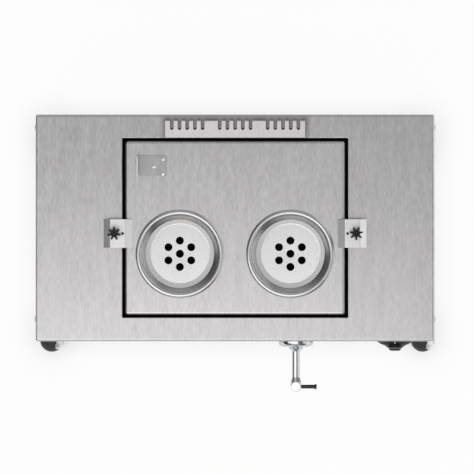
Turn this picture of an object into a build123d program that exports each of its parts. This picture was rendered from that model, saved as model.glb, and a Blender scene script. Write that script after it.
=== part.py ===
"""Gas-fired tea brewing machine on casters.

A stainless casing carries a water tank with a lift-off lid in its deck. Two perforated
seats in the lid let steam up under the teapots, two bridges with star knobs clamp the lid
down on its seal, and a slotted cowl behind it lets the burner's flue gas out. Hot water is
drawn from a plug tap on the front, beside the gas knob.

Millimetres, +X to the right, +Y to the rear, +Z up, origin under the middle of the
machine's outline, on the floor.
"""

import os

from build123d import *

# Casing
BODY_W = 700.0
BODY_D = 398.0
BASE_Z = 50.0
DECK_Z = 470.0
SHEET = 1.5
SKIRT = 32.0
PANEL_INSET = 2.0
PANEL_TOP = DECK_Z - 8.0
SEAM = 0.5
SIDE_RETURN = 14.0
EDGE_RADIUS = 3.0
DECK_FOLD_R = 4.2
CLEAR = 0.2
RUNNING_GAP = 0.05
FRAME_LEG = 20.0
FRAME_WALL = 2.0

# What stands out of the casing at the front sets the origin
TAP_REACH = 90.0
FRONT_Y = TAP_REACH - (BODY_D + TAP_REACH) / 2
REAR_Y = FRONT_Y + BODY_D
BODY_Y = (FRONT_Y + REAR_Y) / 2

# Deck opening, tank and lid
OPENING_W = 396.0
OPENING_D = 315.0
OPENING_R = 2.0
OPENING_EDGE_R = 1.2
LEDGE_W = 12.0
LEDGE_Z = DECK_Z - 15.0
TANK_W = OPENING_W - 2 * LEDGE_W
TANK_D = OPENING_D - 2 * LEDGE_W
TANK_FLOOR_Z = 215.0
TANK_CORNER_R = 18.0
LID_W = 385.6
LID_D = 305.2
LID_H = 9.0
LID_EDGE_R = 5.0
SEAL_H = DECK_Z - LID_H - LEDGE_Z - CLEAR

# Teapot seats
SEAT_X = 97.0
SEAT_Y = BODY_Y - 45.5
SEAT_SHEET = 1.2
SEAT_RIM_R = 77.6
SEAT_BEAD_H = 3.0
SEAT_CREST_R = 71.6
SEAT_MOUTH_R = 69.0
SEAT_MOUTH_H = 1.5
SEAT_CONE_R = 60.0
SEAT_CONE_DEPTH = 15.0
SEAT_DISC_R = 52.0
SEAT_DEPTH = 18.5
STEAM_HOLE_R = 7.0
STEAM_CIRCLE_R = 23.1
STEAM_HOLES = 6

# Lid bracket, at the lid's left rear corner
BRACKET_X = -145.3
BRACKET_Y = BODY_Y + 108.6
BRACKET_W = 51.0
BRACKET_D = 35.4
BRACKET_UPSTAND = 18.0
BRACKET_SHEET = 2.0
RIVET_R = 3.4
RIVET_H = 1.1
RIVET_PLACES = ((19.1, 11.8), (3.5, -1.2), (19.1, -13.7))

# Clamp bridges and their star knobs
CLAMP_X = 212.3
CLAMP_Y = BODY_Y - 10.0
CLAMP_D = 50.0
CLAMP_LID_REACH = 32.4
CLAMP_DECK_REACH = 18.2
CLAMP_LID_SLOPE = 13.0
CLAMP_DECK_SLOPE = 11.5
CLAMP_H = 8.0
CLAMP_SHEET = 2.0
CLAMP_BORE_R = 3.4
CLAMP_PIP_R = 2.5
CLAMP_PIP_REACH = 14.8
STUD_R = 3.0
STUD_DEPTH = 16.0
WASHER_R = 7.0
WASHER_H = 1.2
STAR_CORE_R = 6.2
STAR_TIP_R = 11.9
STAR_LOBE_R = 1.5
STAR_ROOT_R = 2.0
STAR_RING = (3.0, 4.2, 0.6)
STAR_LOBES = 7
STAR_H = 11.0
STAR_HUB_R = 5.5
STAR_HUB_H = 4.0
RIVET_NUT_R = 4.6

# Flue
COWL_W = 245.4
COWL_FRONT_Y = BODY_Y + 158.5
COWL_REAR_Y = BODY_Y + 188.7
COWL_H = 12.0
COWL_LIP = 2.5
COWL_FOLD_R = 1.5
SLOT_W = 6.6
SLOT_PITCH = 13.5
SLOT_FRONT_Y = BODY_Y + 171.8
SLOT_GROUP_PITCH = 84.0
SLOTS_IN_GROUP = 5
FLUE_W = 230.0
FLUE_D = 13.5
FLUE_Y = BODY_Y + 167.5
FLUE_MOUTH = (150.0, 200.0)

# Tap
TAP_X = 107.2
TAP_Z = 240.0
ROSETTE_R = 31.0
ROSETTE_REACH = 11.6
TAP_COLLAR_R = 13.8
TAP_STEM_R = 7.0
TAP_SHOULDER_R = 9.5
TAP_SHOULDER_REACH = (65.0, 78.0)
TAP_HEAD_R = 9.0
TAP_HEAD_TOP = 13.0
TAP_HEAD_BOTTOM = -14.0
TAP_PLUG_R = 5.5
TAP_CAP_R = 9.0
TAP_CAP_H = 11.0
TAP_CAP_EDGE_R = 1.2
SPOUT_R = 7.0
SPOUT_BORE_R = 4.5
SPOUT_LENGTH = 36.0
SHANK_R = 10.0
LEVER_ROOT = 4.0
LEVER_R = 2.0
LEVER_GRIP_R = 3.4
LEVER_END_R = 4.5
LEVER_LENGTH = 36.6

# Gas train
KNOB_X = 282.5
KNOB_Z = 150.0
KNOB_SKIRT_R = 31.5
KNOB_REACH = 18.2
KNOB_PUSH = 3.0
KNOB_GRIP_W = 22.2
KNOB_GRIP_L = 46.0
KNOB_GRIP_EDGE_R = 5.0
STEM_R = 4.0
PUSH_PIN_R = 2.0
PUSH_PIN_LENGTH = 18.0
VALVE_NECK_R = 6.5
VALVE_BOSS = 22.0
PIPE_R = 6.0
INLET_R = 10.48
INLET_HEX = 27.0
INLET_Y = REAR_Y - 62.0
INLET_DROP = 14.0
INLET_RUN_Z = 100.0
BURNER_Z = 150.0
BURNER_R = 18.0
BURNER_LEFT = -150.0
BURNER_RIGHT = 120.0
TRAY_Z = 100.0
SENSOR_Y = BODY_Y - 26.0
SENSOR_LEAD_Z = 136.0

# Casters
CASTER_X = 329.0
CASTER_INSET_Y = 18.9
CASTER_TRAIL = 19.0
CASTER_TURN = 11.0
BALL_R = 21.0
WHEEL_GAP = 0.5
HUB_R = 8.0
HUB_SEAT = 13.0
HUB_CROWN = 1.5
HUB_DIMPLE_R = 1.4
HOOD_WALL = 2.8
AXLE_RISE = 40.0
AXLE_TURN = -48.0
AXLE_R = 3.0
CASTER_STEM_R = 4.0
CASTER_STEM_LOW = 37.0
CASTER_BOSS_R = 9.0
CASTER_BOSS_TOP = 45.0
SOCKET_R = 7.0
SOCKET_FLANGE_R = 13.0
SOCKET_FLANGE_H = 3.0
SOCKET_TOP = 80.0

# Screws
SCREW_HEAD_R = 5.0
SCREW_HEAD_H = 1.5
SCREW_R = 2.0
SCREW_LENGTH = 9.0
RECESS_L = 5.4
RECESS_W = 1.1
RECESS_DEPTH = 1.0
DECK_SCREW_Y = (BODY_Y - 160.0, BODY_Y + 176.0)
DECK_SCREW_Z = DECK_Z - 17.0
PANEL_SCREW_X = (-325.0, 325.0)
PANEL_SCREW_Z = (95.0, 395.0)

LEFT, RIGHT = -1, 1
UP, DOWN = (0, 0, 1), (0, 0, -1)
REARWARD, FORWARD = (0, 1, 0), (0, -1, 0)
RIGHTWARD, LEFTWARD = (1, 0, 0), (-1, 0, 0)

# Levels and places that follow from the sizes above
PANEL_X = BODY_W / 2 - PANEL_INSET
PANEL_FRONT = FRONT_Y + PANEL_INSET
PANEL_REAR = REAR_Y - PANEL_INSET
BASE_TOP = BASE_Z + SHEET
BRIDGE_TOP = DECK_Z + CLEAR + CLAMP_H + CLAMP_SHEET
WASHER_Z = BRIDGE_TOP + CLEAR
STAR_Z = WASHER_Z + WASHER_H + CLEAR
TANK_FRONT = BODY_Y - TANK_D / 2
TAP_Y = FRONT_Y - TAP_REACH + TAP_HEAD_R
LEVER_Z = TAP_Z + TAP_HEAD_TOP + CLEAR + 4.5
KNOB_BACK_Y = PANEL_FRONT - KNOB_PUSH - CLEAR
VALVE_FRONT = PANEL_FRONT + SHEET + 6.0
VALVE_BACK = VALVE_FRONT + 52.0
VALVE_PORT_Y = VALVE_BACK - 14.0
STEM_END = VALVE_FRONT + 12.0
INJECTOR_X = BURNER_RIGHT + 12.0
BALL = Vector(0, -CASTER_TRAIL, BALL_R)
AXLE = Vector(1, 0, 0).rotate(Axis.Y, -AXLE_RISE).rotate(Axis.Z, AXLE_TURN)


# Shapes used all over


def block(x, y, z):
    """A box between two limits along each axis."""
    low, high = zip(x, y, z)
    size = [b - a for a, b in zip(low, high)]
    middle = [(a + b) / 2 for a, b in zip(low, high)]
    return Pos(*middle) * Box(*size)


def rod(start, direction, radius, length):
    """A round bar from a point along a direction."""
    plane = Plane(origin=start, z_dir=direction)
    return plane * Cylinder(radius, length, align=(Align.CENTER, Align.CENTER, Align.MIN))


def hexagon_bar(start, direction, across_flats, length):
    """A hexagonal bar from a point along a direction."""
    plane = Plane(origin=start, z_dir=direction)
    return extrude(plane * RegularPolygon(across_flats / 2, 6, major_radius=False), length)


def rounded_prism(width, depth, radius, low, high):
    """An upright prism with rounded corners, about the middle of the casing."""
    outline = Pos(0, BODY_Y, low) * RectangleRounded(width, depth, radius)
    return extrude(outline, high - low)


def chain(*points):
    """Straight lines through (radius, height) points."""
    return Polyline(*[(r, 0, h) for r, h in points])


def arc(start, middle, end):
    """An arc through three (radius, height) points."""
    return ThreePointArc(*[(r, 0, h) for r, h in (start, middle, end)])


def level_arc(start, end):
    """An arc between (radius, height) points that leaves the first one level."""
    outward = 1 if end[0] > start[0] else -1
    return TangentArc((start[0], 0, start[1]), (end[0], 0, end[1]), tangent=(outward, 0, 0))


def turned(curves, start, direction):
    """A turned piece: a closed profile of chains and arcs, revolved about an axis."""
    edges = [edge for curve in curves for edge in curve.edges()]
    solid = revolve(make_face(edges), Axis.Z)
    return Plane(origin=start, z_dir=direction) * solid


def swept_pipe(points, bend, radius):
    """A pipe of solid section along straight runs joined by arcs."""
    path = FilletPolyline(*points, radius=bend)
    section = Plane(origin=path @ 0, z_dir=path % 0) * Circle(radius)
    return sweep(section, path=path)


def upright_edges(solid):
    return solid.edges().filter_by(Axis.Z)


def top_edges(solid):
    return solid.faces().sort_by(Axis.Z)[-1].edges()


def mirrored(side, solid):
    """A piece drawn on the right, put on the given side."""
    return solid if side == RIGHT else mirror(solid, about=Plane.YZ)


def screw_hole(place, direction):
    """Clearance hole for a screw whose head bears at the given place."""
    outside = tuple(p + d for p, d in zip(place, direction))
    inward = tuple(-d for d in direction)
    return rod(outside, inward, SCREW_R + CLEAR, SCREW_LENGTH + 2.0)


# Casing


def deck_screw_places():
    return [((s * BODY_W / 2, y, DECK_SCREW_Z), (s, 0, 0)) for s in (LEFT, RIGHT) for y in DECK_SCREW_Y]


def panel_screw_places():
    faces = ((PANEL_FRONT, FORWARD), (PANEL_REAR, REARWARD))
    return [((x, y, z), d) for y, d in faces for x in PANEL_SCREW_X for z in PANEL_SCREW_Z]


def drilled(solid, places):
    for place, direction in places:
        solid -= screw_hole(place, direction)
    return solid


def opening_rim(deck):
    """Top edges of the opening: those well inside the deck's outline."""
    reach = (OPENING_D / 2 + BODY_D / 2) / 2
    middles = [(e, e.center()) for e in top_edges(deck)]
    return [e for e, c in middles if abs(c.X) < BODY_W / 3 and abs(c.Y - BODY_Y) < reach]


def deck_panel():
    """Folded deck with the tank opening, the flue slot and the clamp screw holes."""
    half_w = BODY_W / 2
    skirt_z = DECK_Z - SKIRT
    outer = block((-half_w, half_w), (FRONT_Y, REAR_Y), (skirt_z, DECK_Z))
    outer = fillet(upright_edges(outer) + top_edges(outer), DECK_FOLD_R)
    inner = block(
        (-half_w + SHEET, half_w - SHEET),
        (FRONT_Y + SHEET, REAR_Y - SHEET),
        (skirt_z - 1, DECK_Z - SHEET),
    )
    inner = fillet(upright_edges(inner) + top_edges(inner), DECK_FOLD_R - SHEET)
    deck = outer - inner
    deck -= rounded_prism(OPENING_W, OPENING_D, OPENING_R, skirt_z, DECK_Z + 1)
    deck = fillet(opening_rim(deck), OPENING_EDGE_R)
    deck -= flue_bore(DECK_Z - 2 * SHEET, DECK_Z + 1)
    for side in (LEFT, RIGHT):
        hole = (side * CLAMP_X, CLAMP_Y, DECK_Z - 2 * SHEET)
        deck -= rod(hole, UP, RIVET_NUT_R, 4 * SHEET)
    return drilled(deck, deck_screw_places())


def side_panel(side):
    """Side sheet with folded returns at the front and rear, tucked up under the deck's skirt."""
    outer = block((PANEL_X - SIDE_RETURN, PANEL_X), (PANEL_FRONT, PANEL_REAR), (BASE_Z, PANEL_TOP))
    outer = fillet(upright_edges(outer).sort_by(Axis.X)[-2:], EDGE_RADIUS)
    inner = block(
        (PANEL_X - SIDE_RETURN - 1, PANEL_X - SHEET),
        (PANEL_FRONT + SHEET, PANEL_REAR - SHEET),
        (BASE_Z - 1, PANEL_TOP + 1),
    )
    inner = fillet(upright_edges(inner).sort_by(Axis.X)[-2:], EDGE_RADIUS - SHEET)
    panel = drilled(outer - inner, deck_screw_places() + panel_screw_places())
    return mirrored(side, panel)


def flat_panel(outer_y, inner_y):
    """Front or rear sheet between the returns of the side panels."""
    half_w = PANEL_X - SIDE_RETURN - SEAM
    sheet = block((-half_w, half_w), sorted((outer_y, inner_y)), (BASE_Z, PANEL_TOP))
    return drilled(sheet, panel_screw_places())


def front_panel():
    """Front sheet with the holes for the tap's shank and the gas tap's spindle."""
    panel = flat_panel(PANEL_FRONT, PANEL_FRONT + SHEET)
    panel -= rod((TAP_X, PANEL_FRONT - 1, TAP_Z), REARWARD, SHANK_R + CLEAR, 4 * SHEET)
    return panel - rod((KNOB_X, PANEL_FRONT - 1, KNOB_Z), REARWARD, STEM_R + 1.0, 4 * SHEET)


def rear_panel():
    """Rear sheet with two rows of cooling slots."""
    slot_count, slot_pitch, slot_length, slot_width = 13, 18.0, 60.0, 6.0
    rows_z = (120.0, 330.0)
    panel = flat_panel(PANEL_REAR, PANEL_REAR - SHEET)
    slots = Sketch()
    for column in range(slot_count):
        x = (column - (slot_count - 1) / 2) * slot_pitch
        slots += Pos(x, 0) * SlotOverall(slot_length, slot_width, rotation=90)
    for z in rows_z:
        plane = Plane(origin=(0, REAR_Y, z), x_dir=RIGHTWARD, z_dir=FORWARD)
        panel -= extrude(plane * slots, 4 * SHEET)
    return panel


def caster_places():
    """Swivel axes: name to (x, y)."""
    rows = {"front": FRONT_Y + CASTER_INSET_Y, "rear": REAR_Y - CASTER_INSET_Y}
    columns = {"left": -CASTER_X, "right": CASTER_X}
    return {f"{r}_{c}": (columns[c], rows[r]) for r in rows for c in columns}


def base_plate():
    """Floor sheet with turned-up edges, air slots, caster holes and the gas inlet's hole."""
    half_w = PANEL_X - SHEET - CLEAR
    front, rear = PANEL_FRONT + SHEET + CLEAR, PANEL_REAR - SHEET - CLEAR
    upturn = 15.0
    plate = block((-half_w, half_w), (front, rear), (BASE_Z, BASE_Z + upturn))
    plate = fillet(upright_edges(plate), EDGE_RADIUS)
    plate -= block(
        (-half_w + SHEET, half_w - SHEET), (front + SHEET, rear - SHEET), (BASE_TOP, BASE_Z + upturn + 1)
    )
    slot_columns, slot_pitch, slot_length, slot_width = 13, 22.0, 80.0, 8.0
    slots = Sketch()
    for column in range(slot_columns):
        x = (column - (slot_columns - 1) / 2) * slot_pitch
        for y in (-55.0, 55.0):
            slots += Pos(x, y) * SlotOverall(slot_length, slot_width, rotation=90)
    plate -= extrude(Pos(0, BODY_Y, BASE_Z - 1) * slots, 4 * SHEET)
    for x, y in caster_places().values():
        plate -= rod((x, y, BASE_Z - 1), UP, SOCKET_R + CLEAR, 4 * SHEET)
    return plate - rod((KNOB_X, INLET_Y, BASE_Z - 1), UP, INLET_R + CLEAR, 4 * SHEET)


def chassis_frame():
    """Welded angle frame: corner posts, top and bottom rails and caster gussets."""
    inset = 2 * (SHEET + CLEAR)
    half_w, front, rear = PANEL_X - inset, PANEL_FRONT + inset, PANEL_REAR - inset
    low, high = BASE_TOP, DECK_Z - SHEET - CLEAR
    window_z = (low + FRAME_LEG, high - FRAME_LEG)
    frame = block((-half_w, half_w), (front, rear), (low, high))
    frame = fillet(upright_edges(frame), EDGE_RADIUS)
    frame -= block(
        (-half_w + FRAME_WALL, half_w - FRAME_WALL),
        (front + FRAME_WALL, rear - FRAME_WALL),
        (low - 1, high + 1),
    )
    frame -= block((-half_w + FRAME_LEG, half_w - FRAME_LEG), (front - 1, rear + 1), window_z)
    frame -= block((-half_w - 1, half_w + 1), (front + FRAME_LEG, rear - FRAME_LEG), window_z)
    gusset, gusset_t = 46.0, 3.0
    for x, y in caster_places().values():
        across = (half_w - gusset, half_w - 1) if x > 0 else (1 - half_w, gusset - half_w)
        along = (front + 1, front + gusset) if y < BODY_Y else (rear - gusset, rear - 1)
        plate = block(across, along, (low, low + gusset_t))
        frame += plate - rod((x, y, low - 1), UP, SOCKET_R + CLEAR, 2 * gusset_t)
    return drilled(frame, deck_screw_places() + panel_screw_places())


def screw(place, direction):
    """Low button-head screw with a cross recess, whose head bears at the given place."""
    origin = (0, 0, 0)
    head = fillet(top_edges(rod(origin, UP, SCREW_HEAD_R, SCREW_HEAD_H)), SCREW_HEAD_H * 0.8)
    cross = Rectangle(RECESS_L, RECESS_W) + Rectangle(RECESS_W, RECESS_L)
    head -= extrude(Pos(0, 0, SCREW_HEAD_H) * cross, -RECESS_DEPTH)
    return Plane(origin=place, z_dir=direction) * (head + rod(origin, DOWN, SCREW_R, SCREW_LENGTH))


def deck_screws():
    """Screws through the deck's skirt into the frame's top rails."""
    return [screw(*place) for place in deck_screw_places()]


def panel_screws():
    """Screws that hold the front and rear panels to the frame's posts."""
    return [screw(*place) for place in panel_screw_places()]


# Flue


def flue_bore(low, high):
    return block((-FLUE_W / 2, FLUE_W / 2), (FLUE_Y - FLUE_D / 2, FLUE_Y + FLUE_D / 2), (low, high))


def flue_duct():
    """Duct that takes flue gas from the burner tray up behind the tank to the deck."""
    low, high = FLUE_MOUTH[0] - 10.0, DECK_Z - SHEET
    half_w = FLUE_W / 2 + SHEET
    duct = block(
        (-half_w, half_w), (FLUE_Y - FLUE_D / 2 - SHEET, FLUE_Y + FLUE_D / 2 + SHEET), (low, high)
    )
    mouth_y = (BODY_Y + TANK_D / 2 + SHEET, FLUE_Y)
    duct += block((-half_w, half_w), mouth_y, (FLUE_MOUTH[0] - SHEET, FLUE_MOUTH[1] + SHEET))
    duct -= flue_bore(low + SHEET, high + 1)
    return duct - block((-FLUE_W / 2, FLUE_W / 2), (mouth_y[0] - 1, FLUE_Y), FLUE_MOUTH)


def cowl_wedge(inset):
    """Wedge under the cowl's sloping top: low at the front, full height at the rear."""
    front, rear = COWL_FRONT_Y + inset, COWL_REAR_Y - inset
    low = DECK_Z - inset
    outline = Polyline(
        (0, front, low),
        (0, rear, low),
        (0, rear, DECK_Z + COWL_H - inset),
        (0, front, DECK_Z + COWL_LIP - inset),
        close=True,
    )
    half_w = COWL_W / 2 - inset
    return extrude(Pos(-half_w, 0, 0) * make_face(outline), 2 * half_w, dir=RIGHTWARD)


def flue_cowl():
    """Folded cowl over the flue slot, with comb slots that run out through its rear wall."""
    wedge = cowl_wedge(0)
    wedge = fillet(wedge.edges().filter_by(Axis.X).sort_by(Axis.Z)[-1:], COWL_FOLD_R)
    cowl = wedge - cowl_wedge(SHEET)
    slots = Sketch()
    length = COWL_REAR_Y + SLOT_W - SLOT_FRONT_Y
    for group in (-1, 0, 1):
        for n in range(SLOTS_IN_GROUP):
            x = group * SLOT_GROUP_PITCH + (n - (SLOTS_IN_GROUP - 1) / 2) * SLOT_PITCH
            slots += Pos(x, SLOT_FRONT_Y + length / 2) * SlotOverall(length, SLOT_W, rotation=90)
    return cowl - extrude(Pos(0, 0, DECK_Z - 1) * slots, 2 * COWL_H)


# Tank


def water_tank():
    """Welded tank with a rebate for the lid's seal and an outlet for the tap."""
    lower = rounded_prism(
        TANK_W + 2 * SHEET, TANK_D + 2 * SHEET, TANK_CORNER_R + SHEET, TANK_FLOOR_Z - SHEET, LEDGE_Z
    )
    upper = rounded_prism(
        OPENING_W + 2 * SHEET, OPENING_D + 2 * SHEET, OPENING_R + SHEET, LEDGE_Z - SHEET, DECK_Z - SHEET
    )
    inside = rounded_prism(TANK_W, TANK_D, TANK_CORNER_R, TANK_FLOOR_Z, DECK_Z)
    rebate = rounded_prism(OPENING_W, OPENING_D, OPENING_R, LEDGE_Z, DECK_Z)
    shell = lower + upper - inside - rebate
    return shell - rod((TAP_X, TANK_FRONT - 5, TAP_Z), REARWARD, SHANK_R + CLEAR, 12.0)


def lid_seal():
    """Silicone seal lying in the tank's rebate."""
    low, high = LEDGE_Z, LEDGE_Z + SEAL_H
    outer = rounded_prism(OPENING_W - 0.6, OPENING_D - 0.6, OPENING_R, low, high)
    seal = outer - rounded_prism(TANK_W + 2, TANK_D + 2, TANK_CORNER_R - 1, low - 1, high + 1)
    return fillet(top_edges(seal), 1.2)


# Lid


def lid_panel():
    """Folded lid with rounded edges and the two seat holes."""
    low = DECK_Z - LID_H
    outer = rounded_prism(LID_W, LID_D, LID_EDGE_R, low, DECK_Z)
    outer = fillet(top_edges(outer), LID_EDGE_R - 0.1)
    inner_r = LID_EDGE_R - SHEET
    inner = rounded_prism(LID_W - 2 * SHEET, LID_D - 2 * SHEET, inner_r, low - 1, DECK_Z - SHEET)
    lid = outer - fillet(top_edges(inner), inner_r - 0.1)
    for side in (LEFT, RIGHT):
        lid -= rod((side * SEAT_X, SEAT_Y, low - 1), UP, SEAT_MOUTH_R + CLEAR, LID_H + 2)
    return lid


def teapot_seat(side):
    """Spun dish with a rolled rim, a cone, a narrow shelf and steam holes in its flat bottom."""
    t = SEAT_SHEET
    step = 0.8
    shelf_z = -SEAT_CONE_DEPTH
    crest, mouth = (SEAT_CREST_R, SEAT_BEAD_H), (SEAT_MOUTH_R, SEAT_MOUTH_H)
    bead = [level_arc(crest, (SEAT_RIM_R, 0)), level_arc(crest, mouth)]
    wall = chain(
        mouth,
        (SEAT_CONE_R, shelf_z),
        (SEAT_DISC_R + step, shelf_z),
        (SEAT_DISC_R, -SEAT_DEPTH),
        (0, -SEAT_DEPTH),
        (0, -SEAT_DEPTH - t),
        (SEAT_DISC_R + t, -SEAT_DEPTH - t),
        (SEAT_DISC_R + step + t, shelf_z - t),
        (SEAT_CONE_R + t * 0.6, shelf_z - t),
        (SEAT_MOUTH_R, -2 * t),
        (SEAT_MOUTH_R + CLEAR / 2, 0),
        (SEAT_RIM_R, 0),
    )
    dish = turned([*bead, wall], (0, 0, 0), UP)
    holes = Sketch() + Circle(STEAM_HOLE_R)
    holes += PolarLocations(STEAM_CIRCLE_R, STEAM_HOLES, start_angle=90) * Circle(STEAM_HOLE_R)
    dish -= extrude(Pos(0, 0, -SEAT_DEPTH - 2 * t) * holes, 4 * t)
    return Pos(side * SEAT_X, SEAT_Y, DECK_Z) * dish


def lid_bracket():
    """Angle bracket on the lid: a flat foot with a turned-up edge to lift by."""
    bend_r, corner_r = 1.0, 2.5
    left, right = BRACKET_X - BRACKET_W / 2, BRACKET_X + BRACKET_W / 2
    depth = (BRACKET_Y - BRACKET_D / 2, BRACKET_Y + BRACKET_D / 2)
    foot = block((left - BRACKET_SHEET, right), depth, (DECK_Z, DECK_Z + BRACKET_SHEET))
    upstand = block((left - BRACKET_SHEET, left), depth, (DECK_Z, DECK_Z + BRACKET_UPSTAND))
    upstand = fillet(upstand.edges().filter_by(Axis.X).sort_by(Axis.Z)[-2:], corner_r)
    bracket = foot + upstand
    outer_bend = (left - BRACKET_SHEET, BRACKET_Y, DECK_Z)
    inner_bend = (left, BRACKET_Y, DECK_Z + BRACKET_SHEET)
    for place, radius in ((outer_bend, bend_r + BRACKET_SHEET), (inner_bend, bend_r)):
        bend = bracket.edges().filter_by(Axis.Y).sort_by_distance(place)[0]
        bracket = fillet(bend, radius)
    for x, y in RIVET_PLACES:
        place = (BRACKET_X + x, BRACKET_Y + y, DECK_Z - 1)
        bracket -= rod(place, UP, RIVET_R / 2, BRACKET_SHEET + 2)
    return bracket


def lid_bracket_rivets():
    """Dome-head rivets that hold the bracket to the lid."""
    rivets = []
    for x, y in RIVET_PLACES:
        seat = (BRACKET_X + x, BRACKET_Y + y, DECK_Z + BRACKET_SHEET)
        dome = [chain((0, RIVET_H), (0, 0), (RIVET_R, 0)), level_arc((0, RIVET_H), (RIVET_R, 0))]
        rivets.append(turned(dome, seat, UP) + rod(seat, DOWN, RIVET_R / 2, BRACKET_SHEET))
    return rivets


def clamp_bridge(side):
    """Bent bridge that presses on the lid with one foot and on the deck with the other."""
    fold_r = 3.0
    low = DECK_Z + CLEAR
    high = low + CLAMP_H
    lid_end, deck_end = CLAMP_X - CLAMP_LID_REACH, CLAMP_X + CLAMP_DECK_REACH
    under = [
        (lid_end, low),
        (lid_end + CLAMP_LID_SLOPE, high),
        (deck_end - CLAMP_DECK_SLOPE, high),
        (deck_end, low),
    ]
    over = [(x, z + CLAMP_SHEET) for x, z in reversed(under)]
    outline = Polyline(*[(x, 0, z) for x, z in under + over], close=True)
    bridge = extrude(Pos(0, CLAMP_Y - CLAMP_D / 2, 0) * make_face(outline), CLAMP_D, dir=REARWARD)
    folds = [e for e in bridge.edges().filter_by(Axis.Y) if e.center().Z >= high - CLEAR]
    bridge = fillet(folds, fold_r)
    bridge -= rod((CLAMP_X, CLAMP_Y, low), UP, CLAMP_BORE_R, 2 * CLAMP_H)
    bridge -= rod((CLAMP_X - CLAMP_PIP_REACH, CLAMP_Y, low), UP, CLAMP_PIP_R, 2 * CLAMP_H)
    return mirrored(side, bridge)


def knob_washer(side):
    """Plain washer between a star knob and its bridge."""
    place = (side * CLAMP_X, CLAMP_Y, WASHER_Z)
    return rod(place, UP, WASHER_R, WASHER_H) - rod(place, UP, STUD_R + RUNNING_GAP, WASHER_H)


def star_knob(side):
    """Moulded star knob: a round core with finger-like lobes and a ring groove, on a plain hub."""
    edge = 0.8
    root = Pos(STAR_CORE_R - STAR_ROOT_R, 0) * Circle(STAR_ROOT_R)
    tip = Pos(STAR_TIP_R - STAR_LOBE_R, 0) * Circle(STAR_LOBE_R)
    lobe = make_hull([*root.edges(), *tip.edges()])
    outline = Sketch() + Circle(STAR_CORE_R)
    for n in range(STAR_LOBES):
        outline += Rot(0, 0, 90 + n * 360 / STAR_LOBES) * lobe
    star = extrude(Pos(0, 0, STAR_HUB_H) * outline, STAR_H)
    star = chamfer(top_edges(star), edge)
    ring_inner, ring_outer, ring_depth = STAR_RING
    ring = Circle(ring_outer) - Circle(ring_inner)
    star -= extrude(Pos(0, 0, STAR_HUB_H + STAR_H) * ring, -ring_depth)
    star += Pos(0, 0, STAR_HUB_H / 2) * Cylinder(STAR_HUB_R, STAR_HUB_H)
    star -= Pos(0, 0, STAR_HUB_H) * Cylinder(STUD_R, 2 * STAR_HUB_H)
    turn = 0 if side == LEFT else 180
    return Pos(side * CLAMP_X, CLAMP_Y, STAR_Z) * Rot(0, 0, turn) * star


def knob_stud(side):
    """Steel stud moulded into a star knob, screwed into the deck."""
    bottom = DECK_Z - STUD_DEPTH
    stud = rod((side * CLAMP_X, CLAMP_Y, bottom), UP, STUD_R, STAR_Z + 2 * STAR_HUB_H - bottom)
    return chamfer(stud.edges().sort_by(Axis.Z)[0], 0.8)


def clamp_rivet_nuts():
    """Rivet nuts in the deck that take the studs."""
    flange, flange_h = 2.0, 0.8
    nuts = []
    for side in (LEFT, RIGHT):
        top = (side * CLAMP_X, CLAMP_Y, DECK_Z)
        nut = rod(top, UP, RIVET_NUT_R + flange, flange_h) + rod(top, DOWN, RIVET_NUT_R, STUD_DEPTH + 2)
        above = (side * CLAMP_X, CLAMP_Y, DECK_Z + 1)
        nuts.append(nut - rod(above, DOWN, STUD_R + RUNNING_GAP, STUD_DEPTH + 2))
    return nuts


# Tap


def tap_rosette():
    """Domed rosette against the front panel."""
    lip = PANEL_INSET + 1.4
    depth = PANEL_INSET + ROSETTE_REACH
    bore = SHANK_R + CLEAR
    crown_r, crown = ROSETTE_R - 8.2, depth - 0.6
    curves = [
        chain((crown_r, crown), (bore, depth), (bore, 0), (ROSETTE_R, 0), (ROSETTE_R, lip)),
        arc((ROSETTE_R, lip), (ROSETTE_R - 2.4, lip + 7.0), (crown_r, crown)),
    ]
    return turned(curves, (TAP_X, PANEL_FRONT, TAP_Z), FORWARD)


def tap_body():
    """Cast tap: shank to the tank, neck, upright plug housing and spout."""
    back = TANK_FRONT + 14.0
    collar = ROSETTE_REACH + CLEAR
    collar_waist, waist_reach, neck_reach = 10.4, collar + 4.2, collar + 6.8
    shoulder_length = 8.0
    shoulder, shoulder_end = TAP_SHOULDER_REACH
    profile = chain(
        (0, FRONT_Y - back),
        (SHANK_R, FRONT_Y - back),
        (SHANK_R, collar),
        (TAP_COLLAR_R, collar),
        (collar_waist, waist_reach),
        (TAP_STEM_R, neck_reach),
        (TAP_STEM_R, shoulder),
        (TAP_SHOULDER_R, shoulder + shoulder_length),
        (TAP_SHOULDER_R, shoulder_end),
        (0, shoulder_end),
        (0, FRONT_Y - back),
    )
    body = turned([profile], (TAP_X, FRONT_Y, TAP_Z), FORWARD)
    head_low = TAP_Z + TAP_HEAD_BOTTOM
    head = rod((TAP_X, TAP_Y, head_low), UP, TAP_HEAD_R, TAP_HEAD_TOP - TAP_HEAD_BOTTOM)
    spout = chain(
        (0, 0),
        (TAP_HEAD_R - 1.0, 0),
        (SPOUT_R, 5.0),
        (SPOUT_R - 0.8, SPOUT_LENGTH),
        (0, SPOUT_LENGTH),
        (0, 0),
    )
    body += fillet(head.edges().filter_by(GeomType.CIRCLE), 1.0)
    body += turned([spout], (TAP_X, TAP_Y, head_low), DOWN)
    body -= rod((TAP_X, TAP_Y, head_low - SPOUT_LENGTH - 1), UP, SPOUT_BORE_R, SPOUT_LENGTH + 4)
    body -= rod((TAP_X, TAP_Y, head_low + 2.0), UP, TAP_PLUG_R + RUNNING_GAP, 40.0)
    return body - rod((TAP_X, back + 1, TAP_Z), FORWARD, SPOUT_BORE_R, back + 1 - TAP_Y)


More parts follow.
